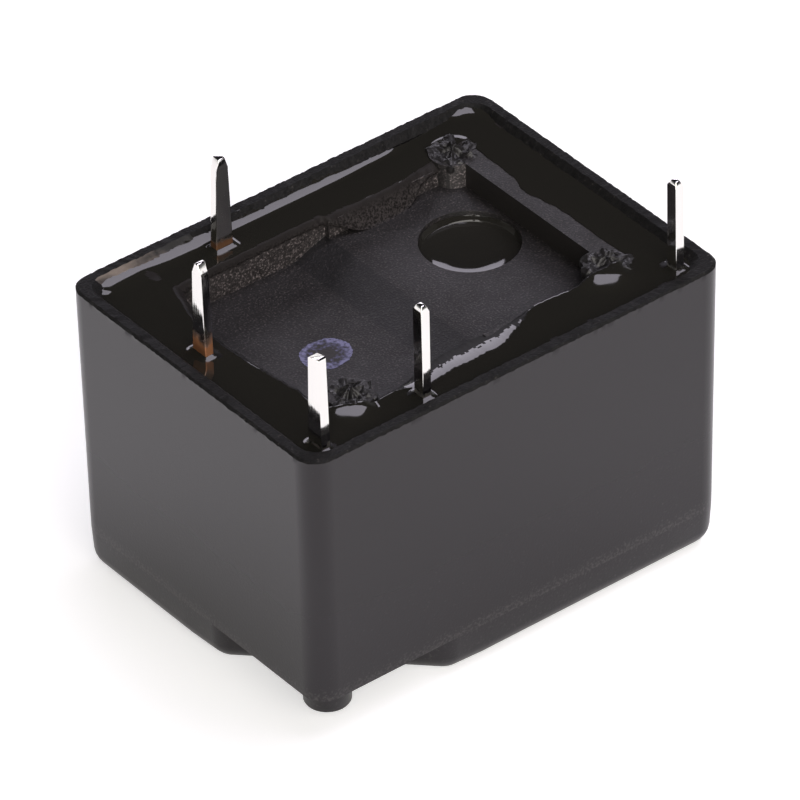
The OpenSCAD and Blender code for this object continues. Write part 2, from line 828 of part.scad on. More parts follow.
// Turns a piece drawn with the armature home on the pole to its place at rest
module at_rest() {
    translate([pivot_x, pivot_y, 0])
        rotate([0, 0, -swing])
            translate([-pivot_x, -pivot_y, 0])
                children();
}

module armature() {
    color([0.6, 0.6, 0.62])
        at_rest()
            difference() {
                block([pivot_x - armature_t, coil_y - pole_r - armature_edge, coil_z - armature_h / 2],
                      [pivot_x, pivot_y, coil_z + armature_h / 2]);
                rivet_holes();
            }
}

// Places of the two rivets that hold the contact spring, with Z out of the armature's inner face
module at_spring_rivets() {
    for (step = [0, rivet_gap])
        translate([pivot_x, coil_y - spring_rivet + step, coil_z])
            rotate([0, -90, 0])
                children();
}

module rivet_holes() {
    at_spring_rivets()
        cylinder(r = rivet_r, h = 4 * armature_t, center = true);
}

module spring_rivets() {
    color([0.72, 0.6, 0.4])
        at_rest()
            at_spring_rivets()
                rivet(armature_t + spring_t);
}

// Leaf that narrows from the armature to a round tip at the contact
module contact_spring() {
    tip_r = contact_r + contact_edge;
    color([0.75, 0.56, 0.3])
        at_rest()
            difference() {
                sheet_facing_x(spring_x + spring_t / 2, spring_t) {
                    polygon([[contact_y, coil_z - tip_r], [coil_y - pole_r, coil_z - spring_w / 2],
                             [coil_y + spring_top, coil_z - spring_w / 2],
                             [coil_y + spring_top, coil_z + spring_w / 2],
                             [coil_y - pole_r, coil_z + spring_w / 2], [contact_y, coil_z + tip_r]]);
                    translate([contact_y, coil_z])
                        circle(tip_r);
                }
                rivet_holes();
                shank_hole(spring_x);
            }
}

// Contact rivet through the tip of the spring, domed on both sides
module moving_contact() {
    color([0.83, 0.82, 0.8])
        at_rest() {
            translate([spring_x + spring_t / 2, contact_y, coil_z])
                for (way = [-1, 1])
                    rotate([0, 90 * way, 0])
                        rotate_extrude()
                            intersection() {
                                translate([0, contact_h + spring_t / 2 - dome_r])
                                    circle(dome_r, $fn = 96);
                                translate([0, spring_t / 2])
                                    square([contact_r, contact_h]);
                            }
            translate([spring_x, contact_y, coil_z])
                rotate([0, 90, 0])
                    cylinder(r = shank_r, h = spring_t);
        }
}

cover();
base();
sealing_resin();
plug_resin();
bobbin();
winding();
winding_tape();
lead_wire_1();
lead_wire_2();
core();
yoke();
com_terminal();
com_rivets();
nc_terminal();
nc_contact();
no_terminal();
no_contact();
coil_pin_1();
coil_pin_2();
hinge_spring();
hinge_rivets();
armature();
contact_spring();
spring_rivets();
moving_contact();
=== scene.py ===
import math

import bmesh
import bpy
from mathutils import Matrix, Vector, noise


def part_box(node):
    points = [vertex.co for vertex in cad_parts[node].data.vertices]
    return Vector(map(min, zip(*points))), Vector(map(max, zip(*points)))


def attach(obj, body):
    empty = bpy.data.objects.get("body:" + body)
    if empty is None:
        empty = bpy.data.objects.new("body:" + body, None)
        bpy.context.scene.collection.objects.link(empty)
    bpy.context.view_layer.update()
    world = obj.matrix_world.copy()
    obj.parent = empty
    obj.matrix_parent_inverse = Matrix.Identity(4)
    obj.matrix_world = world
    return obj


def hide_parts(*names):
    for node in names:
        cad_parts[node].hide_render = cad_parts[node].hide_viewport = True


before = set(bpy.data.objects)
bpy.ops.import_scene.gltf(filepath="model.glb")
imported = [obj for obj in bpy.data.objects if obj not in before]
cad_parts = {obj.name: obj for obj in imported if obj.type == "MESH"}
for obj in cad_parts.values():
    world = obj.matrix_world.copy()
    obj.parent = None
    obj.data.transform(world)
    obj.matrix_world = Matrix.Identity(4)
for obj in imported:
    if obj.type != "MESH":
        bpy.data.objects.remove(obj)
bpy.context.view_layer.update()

# Bobbin. One black moulding that carries the coil, the pins and the terminals, with three
# pegs that stand up through the base.
mm = 0.001


def cad_copy(node, edge, segments=2):
    """A copy of a CAD node with its triangles merged into faces and its sharp edges broken."""
    bm = bmesh.new()
    bm.from_mesh(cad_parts[node].data)
    bmesh.ops.remove_doubles(bm, verts=bm.verts, dist=0.0005 * mm)
    bmesh.ops.dissolve_limit(bm, angle_limit=math.radians(1), verts=bm.verts, edges=bm.edges)
    if edge:
        sharp = [e for e in bm.edges if e.is_manifold and e.calc_face_angle() > math.radians(32)]
        bmesh.ops.bevel(bm, geom=sharp, offset=edge, offset_type="OFFSET", segments=segments,
                        profile=0.5, affect="EDGES", clamp_overlap=True, material=-1)
    bmesh.ops.triangulate(bm, faces=[f for f in bm.faces if len(f.verts) > 4])
    bmesh.ops.recalc_face_normals(bm, faces=bm.faces)
    return bm


def only(geom, kind):
    """The vertices, edges or faces among what a mesh operator gave back."""
    return [g for g in geom if isinstance(g, kind)]


def piece(bm, name, material, nodes=(), body="housing", crease=40):
    """Keeps a modelled mesh as a piece of the object that rides on a body."""
    mesh = bpy.data.meshes.new(name)
    bm.to_mesh(mesh)
    bm.free()
    mesh.shade_smooth()
    mesh.set_sharp_from_angle(angle=math.radians(crease))
    made = bpy.data.objects.new(name, mesh)
    bpy.context.scene.collection.objects.link(made)
    made.modifiers.new("flat faces stay flat", "WEIGHTED_NORMAL").keep_sharp = True
    mesh.materials.append(material)
    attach(made, body)
    if nodes:
        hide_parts(*nodes)
    return made


def new_material(name, colour, rough, metal=0.0, ior=1.5):
    """A material, its shader and the Object coordinates that its patterns read."""
    material = bpy.data.materials.new(name)
    material.use_nodes = True
    nodes = material.node_tree.nodes
    shader = nodes["Principled BSDF"]
    shader.inputs["Base Color"].default_value = (*colour, 1)
    shader.inputs["Roughness"].default_value = rough
    shader.inputs["Metallic"].default_value = metal
    shader.inputs["IOR"].default_value = ior
    place = nodes.new("ShaderNodeTexCoord").outputs["Object"]
    return material, shader, place


def speckle(material, place, size, detail=2.0, stretch=None):
    """A noise pattern whose grains are about that size."""
    tree = material.node_tree
    grain = tree.nodes.new("ShaderNodeTexNoise")
    grain.inputs["Scale"].default_value = 1 / size
    grain.inputs["Detail"].default_value = detail
    if stretch:
        turn = tree.nodes.new("ShaderNodeMapping")
        turn.inputs["Scale"].default_value = stretch
        tree.links.new(place, turn.inputs["Vector"])
        place = turn.outputs["Vector"]
    tree.links.new(place, grain.inputs["Vector"])
    return grain.outputs["Fac"]


def bump(material, shader, value, depth, strength=1.0):
    """Turns a pattern into a relief of that depth; a second call adds to the first."""
    tree = material.node_tree
    relief = tree.nodes.new("ShaderNodeBump")
    relief.inputs["Distance"].default_value = depth
    relief.inputs["Strength"].default_value = strength
    tree.links.new(value, relief.inputs["Height"])
    held = shader.inputs["Normal"].links
    if held:
        tree.links.new(held[0].from_socket, relief.inputs["Normal"])
    tree.links.new(relief.outputs["Normal"], shader.inputs["Normal"])


bobbin_black, bobbin_shader, bobbin_place = new_material("bobbin plastic", (0.016, 0.015, 0.015), 0.42)
bump(bobbin_black, bobbin_shader, speckle(bobbin_black, bobbin_place, 0.16 * mm), 0.01 * mm, 0.5)
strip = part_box("base")[1].z
peg_end = strip - 0.1 * mm
carrier = cad_copy("bobbin", 0.04 * mm)
uncut = carrier.verts[:] + carrier.edges[:] + carrier.faces[:]
shorn = bmesh.ops.bisect_plane(carrier, geom=uncut, dist=1e-7, plane_co=(0, 0, peg_end),
                               plane_no=(0, 0, 1), clear_outer=True)
bmesh.ops.holes_fill(carrier, edges=only(shorn["geom_cut"], bmesh.types.BMEdge), sides=0)
piece(carrier, "bobbin_moulding", bobbin_black, ["bobbin"])

# Winding. Enamelled copper wire wound on the bobbin, held by a layer of tape, with its two
# ends led out to the coil pins.
wire_pitch = 0.1 * mm
wave_length = 0.31


def ramp(material, value, stops, target):
    """Colours, or greys, laid over a value and led to a shader socket."""
    tree = material.node_tree
    band = tree.nodes.new("ShaderNodeValToRGB")
    marks = band.color_ramp.elements
    while len(marks) < len(stops):
        marks.new(0.5)
    for mark, (at, colour) in zip(marks, stops):
        mark.position = at
        mark.color = (*colour, 1) if isinstance(colour, tuple) else (colour, colour, colour, 1)
    tree.links.new(value, band.inputs["Fac"])
    if target:
        tree.links.new(band.outputs["Color"], target)
    return band.outputs["Color"]


def dressed(node, edge, name, material, body="housing"):
    """A CAD node with its edges broken and its finish on, in place of the plain one."""
    return piece(cad_copy(node, edge), name, material, [node], body)


enamel, enamel_shader, enamel_place = new_material("enamelled wire", (0.42, 0.13, 0.045), 0.28, 0.75)
turns = enamel.node_tree.nodes.new("ShaderNodeTexWave")
turns.bands_direction = "X"
turns.inputs["Scale"].default_value = wave_length / wire_pitch
enamel.node_tree.links.new(enamel_place, turns.inputs["Vector"])
bump(enamel, enamel_shader, turns.outputs["Fac"], 0.03 * mm)
ramp(enamel, speckle(enamel, enamel_place, 0.9 * mm), [(0.3, (0.36, 0.10, 0.035)), (0.7, (0.5, 0.17, 0.06))],
     enamel_shader.inputs["Base Color"])
dressed("winding", 0, "coil_turns", enamel)
lead, lead_shader, lead_place = new_material("lead wire", (0.5, 0.17, 0.06), 0.25, 0.8)
ramp(lead, speckle(lead, lead_place, 0.5 * mm), [(0.3, 0.2), (0.7, 0.36)], lead_shader.inputs["Roughness"])
for end in (1, 2):
    dressed(f"lead_wire_{end}", 0, f"coil_lead_{end}", lead)
tape, tape_shader, tape_place = new_material("polyester tape", (0.75, 0.55, 0.12), 0.32)
bump(tape, tape_shader, speckle(tape, tape_place, 0.4 * mm, 1.0, (3, 1, 1)), 0.02 * mm, 0.6)
dressed("winding_tape", 0.02 * mm, "coil_tape", tape)

# Magnet. The core and the bent yoke are soft iron, pressed and stamped, with a dull nickel
# plate; the yoke's short leg takes the riveted end of the core.
iron, iron_shader, iron_place = new_material("plated iron", (0.52, 0.5, 0.46), 0.34, 1.0)
ramp(iron, speckle(iron, iron_place, 0.35 * mm, 4.0), [(0.3, 0.28), (0.7, 0.46)],
     iron_shader.inputs["Roughness"])
bump(iron, iron_shader, speckle(iron, iron_place, 0.2 * mm), 0.008 * mm, 0.6)
dressed("core", 0.06 * mm, "iron_core", iron)
dressed("yoke", 0.08 * mm, "iron_yoke", iron)

# Coil pins. Square copper wire, tinned, pressed into the bobbin's flanges and cut off above
# the base; the tin is bright above the resin and dull at its foot.
case_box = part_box("cover")
rim = case_box[1].z


def along(material, place):
    """The three coordinates of a place, by their letters."""
    tree = material.node_tree
    axes = tree.nodes.new("ShaderNodeSeparateXYZ")
    tree.links.new(place, axes.inputs["Vector"])
    return axes.outputs


def scaled_sum(material, value, factor, base):
    """value x factor + base, where factor and base are numbers or other values."""
    tree = material.node_tree
    total = tree.nodes.new("ShaderNodeMath")
    total.operation = "MULTIPLY_ADD"
    tree.links.new(value, total.inputs[0])
    for part, socket in ((factor, total.inputs[1]), (base, total.inputs[2])):
        if isinstance(part, (int, float)):
            socket.default_value = part
        else:
            tree.links.new(part, socket)
    return total.outputs["Value"]


def spread(material, value, first, last, at_first=0.0, at_last=1.0):
    """Runs from one end value to the other as a value goes from first to last."""
    tree = material.node_tree
    span = tree.nodes.new("ShaderNodeMapRange")
    span.inputs["From Min"].default_value = first
    span.inputs["From Max"].default_value = last
    span.inputs["To Min"].default_value = at_first
    span.inputs["To Max"].default_value = at_last
    tree.links.new(value, span.inputs["Value"])
    return span.outputs["Result"]


def tinned(name, foot, streak, bare):
    """Tin over copper: bright, faintly drawn lengthways, dull or worn through at its foot."""
    bright = (0.80, 0.785, 0.76)
    tin, shader, place = new_material(name, bright, 0.16, 1.0)
    wander = scaled_sum(tin, speckle(tin, place, 0.45 * mm, 3.0), 0.9 * mm, along(tin, place)["Z"])
    height = spread(tin, wander, rim, rim + 2 * foot)
    ramp(tin, height, [(0.35, bare), (0.62, bright)], shader.inputs["Base Color"])
    ramp(tin, height, [(0.35, 0.5), (0.62, 0.09)], shader.inputs["Roughness"])
    bump(tin, shader, speckle(tin, place, 0.09 * mm, 2.0, (1, 1, 0.12)), streak, 0.5)
    bump(tin, shader, speckle(tin, place, 0.8 * mm, 1.0), 0.04 * mm, 0.25)
    return tin


pin_tin = tinned("tinned wire", 0.25 * mm, 0.005 * mm, (0.5, 0.47, 0.43))
for end in (1, 2):
    dressed(f"coil_pin_{end}", 0.035 * mm, f"pin_of_coil_{end}", pin_tin)

# Common terminal. A stamped copper blade, tinned, riveted flat on the long leg of the yoke
# by two brass rivets.
blade_tin = tinned("tinned blade", 0.6 * mm, 0.006 * mm, (0.42, 0.22, 0.12))
dressed("com_terminal", 0.04 * mm, "common_blade", blade_tin)
brass, brass_shader, brass_place = new_material("rivet brass", (0.72, 0.5, 0.2), 0.3, 1.0)
ramp(brass, speckle(brass, brass_place, 0.25 * mm), [(0.3, 0.22), (0.7, 0.42)],
     brass_shader.inputs["Roughness"])
dressed("com_rivets", 0.05 * mm, "common_rivets", brass)

# Hinge spring. A bent strip of spring bronze, riveted on the yoke, that holds the armature
# against the end of the leg.
bronze, bronze_shader, bronze_place = new_material("spring bronze", (0.62, 0.38, 0.2), 0.24, 1.0)
ramp(bronze, speckle(bronze, bronze_place, 0.2 * mm, 3.0, (1, 1, 6)), [(0.3, 0.16), (0.7, 0.34)],
     bronze_shader.inputs["Roughness"])
dressed("hinge_spring", 0.015 * mm, "hinge_leaf", bronze)
dressed("hinge_rivets", 0.05 * mm, "hinge_rivet_pair", brass)

# Armature. A soft-iron plate that rocks on the end of the yoke, with the contact spring
# riveted on its back and the silver contact riveted through the spring's end.
silver, silver_shader, silver_place = new_material("contact silver", (0.86, 0.84, 0.8), 0.22, 1.0)
ramp(silver, speckle(silver, silver_place, 0.15 * mm), [(0.3, 0.16), (0.7, 0.34)],
     silver_shader.inputs["Roughness"])
dressed("armature", 0.06 * mm, "armature_plate", iron, "armature")
dressed("contact_spring", 0.015 * mm, "contact_leaf", bronze, "armature")
dressed("spring_rivets", 0.05 * mm, "leaf_rivets", brass, "armature")
dressed("moving_contact", 0.02 * mm, "moving_tip", silver, "armature")

# Fixed contacts. Two tinned copper blades, stamped and folded, slid into the bobbin, each
# with a silver rivet facing the moving contact.
bare_foot = tinned("tinned blade, bare foot", 1.0 * mm, 0.006 * mm, (0.85, 0.4, 0.2))
dressed("nc_terminal", 0.04 * mm, "closed_blade", bare_foot)
dressed("nc_contact", 0.04 * mm, "closed_tip", silver)
dressed("no_terminal", 0.04 * mm, "open_blade", pin_tin)
dressed("no_contact", 0.04 * mm, "open_tip", silver)

# Base. A black moulded plate with a stepped pan, spark-eroded grain on its floor, that the
# pegs are staked through; it closes the open end just inside the rim.
# The grain's high spots and the back walls are painted lighter, as painted light, and the slope up from the
# pan is painted darker, as painted shade.
pan_right = 6.97 * mm
pan_floor, plane_floor = 11.8 * mm, 12.4 * mm


def grained(name, tone_and_painted_light):
    """Black plastic with an eroded grain whose high spots are painted lighter, a painted highlight standing
    in for the light they catch.
    """
    black, shader, place = new_material(name, (0.02, 0.019, 0.0195), 0.5)
    grit_and_painted_highlight = speckle(black, place, 0.085 * mm, 3.0)
    grain_stops_with_painted_highlight = [(0.36, (0.006, 0.0051, 0.005)), (0.56, (0.018, 0.0155, 0.0152)), (0.74, (0.1, 0.086, 0.085))]
    toned = [(at, tuple(tone_and_painted_light * part for part in shade)) for at, shade in grain_stops_with_painted_highlight]
    # The grain's high spots are painted lighter in the colour, a painted highlight.
    ramp(black, grit_and_painted_highlight, toned, shader.inputs["Base Color"])
    ramp(black, speckle(black, place, 1.3 * mm), [(0.3, 0.46), (0.7, 0.6)], shader.inputs["Roughness"])
    bump(black, shader, grit_and_painted_highlight, 0.025 * mm, 0.8)
    return black


sleek_black, sleek_shader, sleek_place = new_material("smooth base wall", (0.016, 0.0145, 0.0135), 0.4)
bump(sleek_black, sleek_shader, speckle(sleek_black, sleek_place, 0.3 * mm), 0.01 * mm, 0.5)
# Slots for copies of the base plastic: the back walls painted lighter (painted light) and the slope up from
# the pan painted darker (painted shade).
sleek_wall, back_wall_painted_lighter, pan_ramp_painted_darker = 1, 2, 3
plate = cad_copy("base", 0.09 * mm)
for f in plate.faces:
    centre = f.calc_center_median()
    if f.normal.x < -0.95 and abs(centre.x - pan_right) < 0.02 * mm:
        f.material_index = sleek_wall
    elif f.normal.y < -0.7 and centre.y > 4 * mm and centre.z > pan_floor - 0.3 * mm:
        f.material_index = back_wall_painted_lighter
    elif (-0.95 < f.normal.x < -0.1 and centre.x < pan_right - 0.97 * mm
          and pan_floor - 0.1 * mm < centre.z < plane_floor + 0.1 * mm):
        f.material_index = pan_ramp_painted_darker
base_black = grained("base plastic", 0.72)
base_skin = piece(plate, "base_plate", base_black, ["base"]).data.materials
base_skin.append(sleek_black)
# The back walls' copy is painted 2.3 times lighter, painted light; the ramp's copy is painted 0.3 as light,
# painted shade.
base_skin.append(grained("base wall", 2.3))
base_skin.append(grained("base ramp painted darker", 0.3))

# Staked heads. The three pegs of the bobbin, crushed hot over the bosses of the base into
# ragged stars with a raised middle.
back_peg, right_peg, left_peg = (7.07, 5.29), (7.07, -4.44), (-5.97, -4.65)
rings = 12
stake_black, stake_shader, stake_place = new_material("crushed plastic", (0.013, 0.012, 0.012), 0.36)
ramp(stake_black, speckle(stake_black, stake_place, 0.25 * mm, 3.0), [(0.3, 0.22), (0.7, 0.55)],
     stake_shader.inputs["Roughness"])
bump(stake_black, stake_shader, speckle(stake_black, stake_place, 0.12 * mm, 3.0), 0.04 * mm, 0.7)
stars = bmesh.new()
for star, (x, y) in enumerate([back_peg, right_peg, left_peg]):
    loops = [bmesh.ops.create_circle(stars, cap_ends=True, segments=80, radius=1)["verts"]]
    crown = list({f for v in loops[0] for f in v.link_faces})
    for ring in range(rings):
        grown = bmesh.ops.extrude_face_region(stars, geom=crown)["geom"]
        if ring:
            bmesh.ops.delete(stars, geom=crown, context="FACES_ONLY")
        crown = only(grown, bmesh.types.BMFace)
        loops.append(only(grown, bmesh.types.BMVert))
    arms = []
    for k in range(6):
        lie = math.pi / 3 * (k + 0.5 * noise.noise((1.7 * k, 4.1 * star, 0.5)))
        arms.append((lie, 0.75 + 0.6 * noise.noise((2.3 * k, 3.7 * star, 2.5))))
    for ring, loop in enumerate(loops):
        share = 1 - max(ring - 1, 0) / rings
        for v in loop:
            turn = math.atan2(v.co.y, v.co.x)
            arm = max(size * math.exp(-(math.remainder(turn - lie, 2 * math.pi) / 0.3) ** 2)
                      for lie, size in arms)
            torn = noise.noise((2.6 * math.cos(turn), 2.6 * math.sin(turn), 5.0 * star))
            reach = share * (0.86 + 0.3 * arm + 0.16 * torn)
            at = Vector((reach * math.cos(turn), reach * math.sin(turn), 3.0 * star))
            rise = 0.28 * (0.2 + 0.8 * arm) * (1 - share ** 3)
            rise -= 0.12 * math.exp(-((share - 0.45) / 0.15) ** 2)
            rise += 0.1 * math.exp(-(share / 0.2) ** 2) - 0.02
            rise += 0.14 * noise.noise(at * 2.6) + 0.09 * noise.noise(at * 6)
            v.co = Vector((x + at.x, y + at.y, 0)) * mm
            v.co.z = strip + (min(rise, 0.32) if ring else -0.3) * mm
bmesh.ops.recalc_face_normals(stars, faces=stars.faces)
piece(stars, "staked_stars", stake_black, crease=45)

# Cover. A deep one-piece case moulded in black plastic: it leans in below a belt, tapers a
# little to the rim, and its closed end is cut back at one corner round a vent nub.
half_l, half_w = case_box[1].x, case_box[1].y
cavity_l, cavity_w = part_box("sealing_resin")[1].xy
recess_z = 1.94 * mm
ceiling = recess_z + 0.8 * mm
# The recess is cut along the line where x and y add up to this.
cut_sum = -11.38 * mm
corner_r = 0.95 * mm
belt_z = 2.6 * mm
chamfer = 0.27 * mm
belt_l, belt_w = half_l - 0.14 * mm, half_w - 0.1 * mm
foot_l, foot_w = belt_l - 0.01 * mm, belt_w - 0.01 * mm
nub_r = 0.97 * mm
nub_root = Vector((-8.53, -6.02, 2.1)) * mm
nub_length = 1.45 * mm


def pad_down(bm, plate, depth, fillet, steps=8):
    """Takes the larger part of a divided plate down as a pad with a rounded edge."""
    pad = max(plate, key=lambda f: f.calc_area())
    if pad.normal.z > 0:
        bmesh.ops.reverse_faces(bm, faces=plate)
    moves = [(0.02 * mm, depth - fillet)]
    for k in range(steps):
        a, b = (math.radians(90 * (k + s) / steps) for s in (0, 1))
        moves.append((fillet * (math.cos(a) - math.cos(b)), fillet * (math.sin(b) - math.sin(a))))
    for inwards, down in moves:
        bmesh.ops.inset_region(bm, faces=[pad], thickness=inwards, depth=down,
                               use_even_offset=True, use_boundary=True)


def next_loop(bm, loop):
    """Draws a loop of edges out by a strip of faces and returns the strip's far edges."""
    grown = bmesh.ops.extrude_edge_only(bm, edges=loop)["geom"]
    return [e for e in only(grown, bmesh.types.BMEdge) if all(v in grown for v in e.verts)]


def wall_on(bm, loop, levels):
    """Carries a loop of edges on through (height, half length, half width); returns every loop."""
    loops = [loop]
    for z, lengthways, across in levels:
        loops.append(next_loop(bm, loops[-1]))
        ring = {v for e in loops[-1] for v in e.verts}
        now_l, now_w = max(v.co.x for v in ring), max(v.co.y for v in ring)
        for v in ring:
            v.co = Vector((v.co.x * lengthways / now_l, v.co.y * across / now_w, z))
    return loops


def split_edges(bm, longest):
    """Divides each edge into equal parts of about that length."""
    for e in list(bm.edges):
        shares = int(e.calc_length() / longest)
        if shares > 1:
            bmesh.ops.subdivide_edges(bm, edges=[e], cuts=shares - 1)


def flat_faces(bm, z):
    """The faces that lie level at that height."""
    return [f for f in bm.faces if all(abs(v.co.z - z) < 1e-7 for v in f.verts)]


def cut_corner(bm, face, z, back=0):
    """Divides a level face along the recess's diagonal and returns the cut's two ends."""
    geom = [face] + list(face.edges) + list(face.verts)
    halved = bmesh.ops.bisect_plane(bm, geom=geom, plane_co=(cut_sum + back, 0, z), plane_no=(1, 1, 0))
    return only(halved["geom_cut"], bmesh.types.BMVert)


case = bmesh.new()
quad = bmesh.ops.create_grid(case, x_segments=1, y_segments=1, size=1)["verts"]
bmesh.ops.scale(case, verts=quad, vec=(foot_l, foot_w, 1))
bmesh.ops.translate(case, verts=quad, vec=(0, 0, recess_z))
ends = cut_corner(case, case.faces[:][0], recess_z)
corners = [v for v in case.verts if v not in ends]
for rounded, radius, segments in ((ends, 0.41 * corner_r, 6), (corners, corner_r, 8)):
    bmesh.ops.bevel(case, geom=rounded, offset=radius, segments=segments, profile=0.5,
                    affect="VERTICES", material=-1)
split_edges(case, 0.1 * mm)
pad_down(case, flat_faces(case, recess_z), recess_z, 0.9 * mm)
for v in case.verts:
    low = 1 - v.co.z / recess_z
    near_cut = max(0, 1 - (v.co.x + v.co.y - cut_sum) / (2.2 * mm))
    v.co += Vector((0.125, 0.125, 0)) * mm * low * near_cut
    v.co -= Vector((v.co.x / half_l, v.co.y / half_w, 0)) * 0.13 * mm * low ** 2
outline = [e for e in case.edges if len(e.link_faces) == 1]
# Up the outside, over the rim, down its chamfer and on inside to the ceiling.
walls = wall_on(case, outline, [
    (belt_z, belt_l, belt_w),
    (belt_z + 1.0 * mm, belt_l + 0.012 * mm, belt_w + 0.009 * mm),
    (rim - 0.35 * mm, half_l - 0.004 * mm, half_w - 0.003 * mm),
    (rim - 0.1 * mm, half_l, half_w),
    (rim, half_l - 0.09 * mm, half_w - 0.09 * mm),
    (rim, cavity_l + chamfer, cavity_w + chamfer),
    (rim - 0.3 * mm, cavity_l, cavity_w),
    (rim - 0.5 * mm, cavity_l, cavity_w),
    (ceiling, cavity_l, cavity_w)])
for loop in walls[4:8]:
    for v in {v for e in loop for v in e.verts}:
        at = v.co / (0.35 * mm)
        v.co.z += 0.02 * mm * noise.noise(at) + 0.05 * mm * min(0.3, noise.noise(at * 2.3))
        out = Vector((v.co.x, v.co.y, 0)).normalized()
        v.co += out * (0.02 * noise.noise(at * 1.7 + Vector((9, 4, 2))) + 0.02 * noise.noise(at * 3.1)) * mm
# The chamfer at the back left, where it faces forward, is painted light tan: painted light.
cut_rim, painted_light_rim = 1, 2
for f in {f for e in walls[5] + walls[6] for f in e.link_faces}:
    centre = f.calc_center_median()
    painted_light_face = f.normal.y < -0.3 and centre.y > 0 and -9.2 * mm < centre.x < -4.5 * mm
    f.material_index = painted_light_rim if painted_light_face else cut_rim
bmesh.ops.contextual_create(case, geom=walls[-1])
cut_corner(case, flat_faces(case, ceiling)[0], ceiling, 1.2 * mm)
pad_down(case, flat_faces(case, ceiling), recess_z, 0.2 * mm, 2)
nub = bmesh.ops.create_circle(case, cap_ends=True, segments=40, radius=nub_r)["verts"]
bmesh.ops.translate(case, verts=nub, vec=nub_root)
grown = bmesh.ops.extrude_face_region(case, geom=list({f for v in nub for f in v.link_faces}))["geom"]
bmesh.ops.translate(case, verts=only(grown, bmesh.types.BMVert), vec=(0, 0, -nub_length))
tip = only(grown, bmesh.types.BMFace)
tip[0].normal_update()
if tip[0].normal.z > 0:
    bmesh.ops.reverse_faces(case, faces=tip)
for inwards, down in ((0.04, 0.07), (0.08, 0.03)):
    bmesh.ops.inset_region(case, faces=tip, thickness=inwards * mm, depth=down * mm)
bmesh.ops.triangulate(case, faces=[f for f in case.faces if len(f.verts) > 4])
bmesh.ops.recalc_face_normals(case, faces=case.faces)

jet = (0.004, 0.0036, 0.0038)
case_black, case_shader, case_place = new_material("case plastic", jet, 0.28, 0.0, 1.48)
case_shader.inputs["Specular Tint"].default_value = (1.0, 0.95, 1.0, 1)
upright = along(case_black, case_place)["Z"]
polish = scaled_sum(case_black, speckle(case_black, case_place, 2.5 * mm, 3.0), 1.5 * mm, upright)
ramp(case_black, spread(case_black, polish, 1.2 * mm, 7.0 * mm), [(0.0, 0.34), (1.0, 0.27)],
     case_shader.inputs["Roughness"])
dusty = ramp(case_black, spread(case_black, upright, 1.5 * mm, 2.7 * mm),
             [(0.0, 0.25), (0.33, 0.4), (0.37, 1.0), (0.6, 0.75), (0.95, 0.0)], None)
dust = scaled_sum(case_black, dusty, 0.24, speckle(case_black, case_place, 0.12 * mm, 3.0))
ramp(case_black, dust, [(0.64, jet), (0.86, (0.032, 0.03, 0.029))], case_shader.inputs["Base Color"])
bump(case_black, case_shader, speckle(case_black, case_place, 0.11 * mm, 2.0), 0.01 * mm, 0.35)
rim_black, rim_shader, rim_place = new_material("cut rim", (0.005, 0.0045, 0.004), 0.62)
rim_shader.inputs["Specular IOR Level"].default_value = 0.22
ramp(rim_black, speckle(rim_black, rim_place, 0.16 * mm, 3.0),
     [(0.4, (0.003, 0.0028, 0.0026)), (0.66, (0.007, 0.0063, 0.006)), (0.78, (0.05, 0.046, 0.042))],
     rim_shader.inputs["Base Color"])
bump(rim_black, rim_shader, speckle(rim_black, rim_place, 0.1 * mm, 3.0), 0.05 * mm, 0.8)
# Painted light: the forward-facing chamfer at the back left is coloured light tan, fading out to the right.
painted_light_tan, painted_light_shader, painted_light_place = new_material("inner edge painted light", (0.1, 0.08, 0.066), 0.5)
fade = spread(painted_light_tan, along(painted_light_tan, painted_light_place)["X"], -7.2 * mm, -4.8 * mm, 0.0, -0.5)
patchy = scaled_sum(painted_light_tan, speckle(painted_light_tan, painted_light_place, 0.5 * mm, 4.0, (0.3, 1, 1)), 1, fade)
ramp(painted_light_tan, patchy, [(0.34, (0.006, 0.0055, 0.005)), (0.62, (0.16, 0.13, 0.11))],
     painted_light_shader.inputs["Base Color"])
bump(painted_light_tan, painted_light_shader, speckle(painted_light_tan, painted_light_place, 0.12 * mm, 3.0), 0.04 * mm, 0.7)
case_skin = piece(case, "case_moulding", case_black, ["cover"], crease=35).data.materials
case_skin.append(rim_black)
case_skin.append(painted_light_tan)

# Sealing resin. Black epoxy poured between the base and the case: it wets the walls, the
# pins and the bosses, and ends on the base in a wavering edge.
level = rim - 0.42 * mm
# Each edge point: x, y, height below the rim, run of the slope before it, and 1 where it lands flat.
front = [(-7.3, -4.5, -0.8, 0.4, 0), (-6.4, -4.9, -0.62, 0.5, 0), (-5.3, -5.3, -0.62, 0.35, 0),
         (-4.3, -5.26, -0.64, 0.35, 0), (-3.5, -5.1, -0.66, 0.8, 0), (-2.9, -4.9, -0.7, 1.5, 0),
         (-1.7, -4.6, -0.72, 1.75, 0), (-0.4, -4.55, -0.72, 1.7, 0), (1.0, -4.6, -0.7, 1.35, 0),
         (2.0, -4.6, -0.66, 0.8, 0), (2.7, -4.55, -0.64, 0.25, 0), (3.55, -4.55, -0.63, 0.15, 0),
         (4.5, -4.6, -0.62, 0.15, 0), (5.34, -4.65, -0.62, 0.2, 0), (5.9, -4.46, -0.6, 0.4, 0),
         (7.0, -4.4, -0.4, 0.5, 0), (7.95, -4.45, -0.3, 0.5, 1)]
right = [(7.95, -4.45, -0.3, 0.5, 1), (7.9, -3.9, -0.285, 0.5, 1), (7.88, -2.34, -0.285, 0.5, 1),
         (7.9, -0.66, -0.285, 0.5, 1), (7.75, 0.32, -0.285, 0.6, 1), (7.57, 1.48, -0.285, 0.8, 1),
         (7.83, 2.29, -0.285, 0.6, 1), (7.9, 4.23, -0.285, 0.5, 1), (7.95, 5.25, -0.3, 0.5, 1)]
